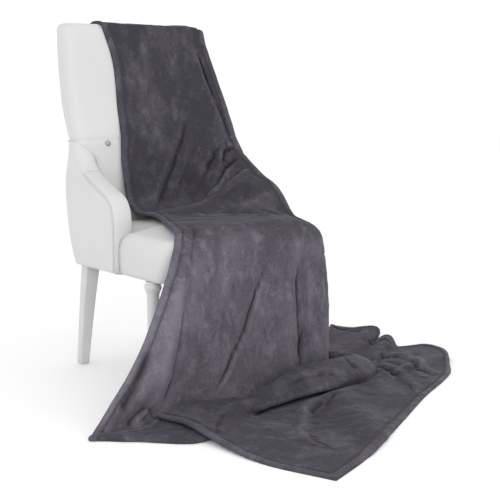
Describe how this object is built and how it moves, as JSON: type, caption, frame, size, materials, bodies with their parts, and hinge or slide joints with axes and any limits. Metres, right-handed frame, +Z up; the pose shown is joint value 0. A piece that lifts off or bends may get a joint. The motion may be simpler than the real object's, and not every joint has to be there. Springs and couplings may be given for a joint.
{
  "type": "fleece blanket draped over a dining chair",
  "caption": "Plush fleece blanket draped over an upholstered dining chair: over the back, down across the seat and its front edge, and out over the floor in loose folds.",
  "frame": {"origin": "on the floor, under the middle of the bounding box", "axes": "+Z up; the chair faces -Y, and the arm that the blanket covers is on the +X side"},
  "size_m": [1.3684, 1.3618, 1.0573],
  "materials": {
    "fleece": "brushed plush nap, dark grey",
    "upholstery": "soft white, satin",
    "legs": "white paint, satin"
  },
  "bodies": {
    "root": {"seat": "upholstery", "back": "upholstery", "arm_left": "upholstery", "arm_right": "upholstery", "leg_rear_left": "legs", "leg_rear_right": "legs", "leg_front_left": "legs", "leg_front_right": "legs", "button_left": "upholstery", "blanket": "fleece"}
  },
  "joints": []
}
